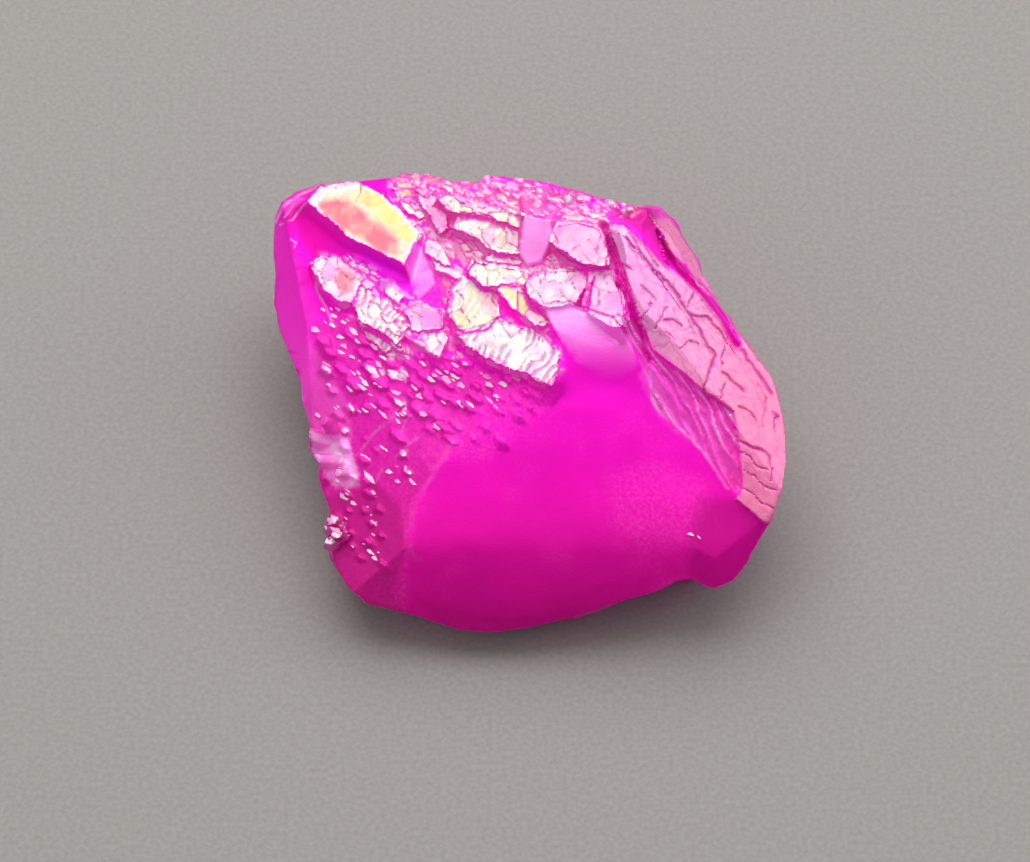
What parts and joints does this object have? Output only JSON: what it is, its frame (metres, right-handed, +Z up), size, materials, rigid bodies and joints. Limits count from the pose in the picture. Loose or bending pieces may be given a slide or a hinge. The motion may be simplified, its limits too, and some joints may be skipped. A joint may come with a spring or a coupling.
{
  "type": "aura quartz crystal",
  "caption": "Rough chunk of coated quartz, with a stepped growth face, a cracked crystal face, a smooth fracture at the front and a flat broken foot.",
  "frame": {"origin": "middle of the bounding box's underside, on the surface that the crystal lies on", "axes": "+Z up from the broken foot, +X to the right of the smooth fracture as it is faced, +Y to the back"},
  "size_m": [0.0516, 0.047, 0.0265],
  "materials": {
    "aura_coating": "opaque hot pink metallic vapour coating on quartz, glassy on flat faces, matt on fractures, with gold, peach and violet interference tints"
  },
  "bodies": {
    "root": {"crystal": "aura_coating"}
  },
  "joints": []
}
